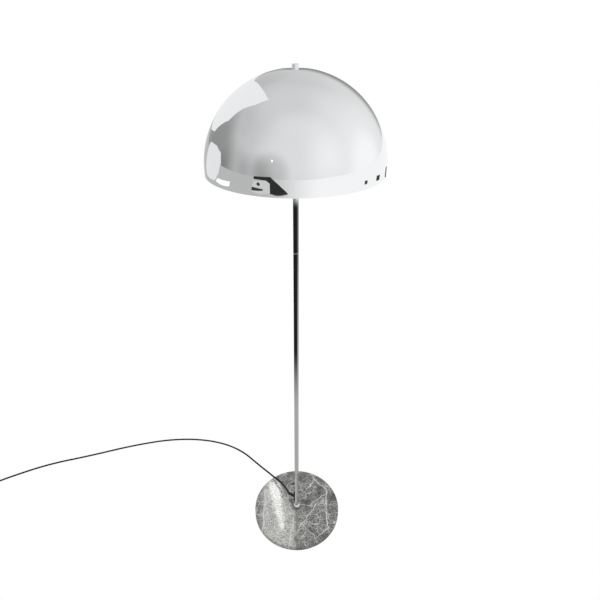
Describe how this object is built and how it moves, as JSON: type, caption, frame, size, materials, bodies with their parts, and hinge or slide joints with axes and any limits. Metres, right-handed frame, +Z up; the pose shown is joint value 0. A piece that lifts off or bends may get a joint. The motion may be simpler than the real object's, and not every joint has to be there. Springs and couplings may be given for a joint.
{
  "type": "floor lamp",
  "caption": "Floor lamp: straight chromed stem on a round polished marble base, mirror-chrome dome shade open below, knob on top, black mains cord with foot switch and plug.",
  "frame": {"origin": "on the floor, on the stem's axis, under the centre of the base", "axes": "+Z up along the stem; +Y away from a person facing the lamp; the cord leaves towards -X"},
  "size_m": [1.4977, 0.553, 1.5053],
  "materials": {
    "chrome_plate": "polished",
    "zinc_steel": "zinc plated",
    "grey_marble": "polished, white veins",
    "black_rubber": "matte",
    "cord_jacket": "satin",
    "tie_fabric": "woven hook and loop",
    "holder_plastic": "satin moulded",
    "white_ceramic": "unglazed",
    "brass": "pressed, nickel flashed on the plug",
    "nickel_cap": "rolled thread",
    "opal_glass": "opal",
    "white_nylon": "moulded",
    "switch_plastic": "moulded"
  },
  "bodies": {
    "stand": {"arm_nipple_left": "zinc_steel", "arm_nipple_right": "zinc_steel", "arm_nuts": "zinc_steel", "base_bolt": "zinc_steel", "base_washer": "zinc_steel", "contact_block": "white_nylon", "cord_coil": "cord_jacket", "cord_end": "cord_jacket", "cord_grommet": "black_rubber", "cord_middle": "cord_jacket", "cord_run": "cord_jacket", "cord_tie": "tie_fabric", "cover_screws": "zinc_steel", "dome_rod": "zinc_steel", "earth_clips": "brass", "foot_collar": "chrome_plate", "foot_gasket": "black_rubber", "foot_insert": "zinc_steel", "foot_pads": "black_rubber", "holder_cap_left": "holder_plastic", "holder_cap_right": "holder_plastic", "holder_contact_left": "brass", "holder_contact_right": "brass", "holder_insert_left": "white_ceramic", "holder_insert_right": "white_ceramic", "holder_skirt_left": "holder_plastic", "holder_skirt_right": "holder_plastic", "holder_sleeve_left": "brass", "holder_sleeve_right": "brass", "hub_cover": "chrome_plate", "hub_cup": "chrome_plate", "inner_lead": "cord_jacket", "lower_tube": "chrome_plate", "marble_base": "grey_marble", "nipple_nut": "zinc_steel", "plug_body": "switch_plastic", "plug_pins": "brass", "rod_nuts": "zinc_steel", "seat_disc": "zinc_steel", "seat_nut": "zinc_steel", "seat_washer": "black_rubber", "stem_insert": "zinc_steel", "stem_joiner": "chrome_plate", "stem_nipple": "zinc_steel", "strain_relief": "black_rubber", "switch_base": "switch_plastic", "switch_cover": "switch_plastic", "switch_screws": "zinc_steel", "switch_spring": "zinc_steel", "terminal_block": "white_nylon", "upper_tube": "chrome_plate"},
    "dome": {"dome_shade": "chrome_plate"},
    "knob": {"top_knob": "chrome_plate", "top_washer": "zinc_steel"},
    "bulb_left": {"bulb_cap_left": "nickel_cap", "bulb_glass_left": "opal_glass"},
    "bulb_right": {"bulb_cap_right": "nickel_cap", "bulb_glass_right": "opal_glass"},
    "button": {"switch_button": "switch_plastic"}
  },
  "joints": [
    {"name": "dome_turn", "type": "hinge", "parent": "stand", "child": "dome", "pos_m": [0, 0, 1.4955], "axis": [0, 0, 1], "continuous": true},
    {"name": "knob_turn", "type": "hinge", "parent": "stand", "child": "knob", "pos_m": [0, 0, 1.501], "axis": [0, 0, 1], "continuous": true},
    {"name": "bulb_left_turn", "type": "hinge", "parent": "stand", "child": "bulb_left", "pos_m": [-0.06, 0, 1.375], "axis": [-1, 0, 0], "continuous": true},
    {"name": "bulb_right_turn", "type": "hinge", "parent": "stand", "child": "bulb_right", "pos_m": [0.06, 0, 1.375], "axis": [1, 0, 0], "continuous": true},
    {"name": "switch_press", "type": "slide", "parent": "stand", "child": "button", "axis": [0, 0, -1], "range_m": [0, 0.0025], "stiffness_N_per_m": 1500, "springref_m": -0.001, "deforming": ["switch_spring"]}
  ]
}
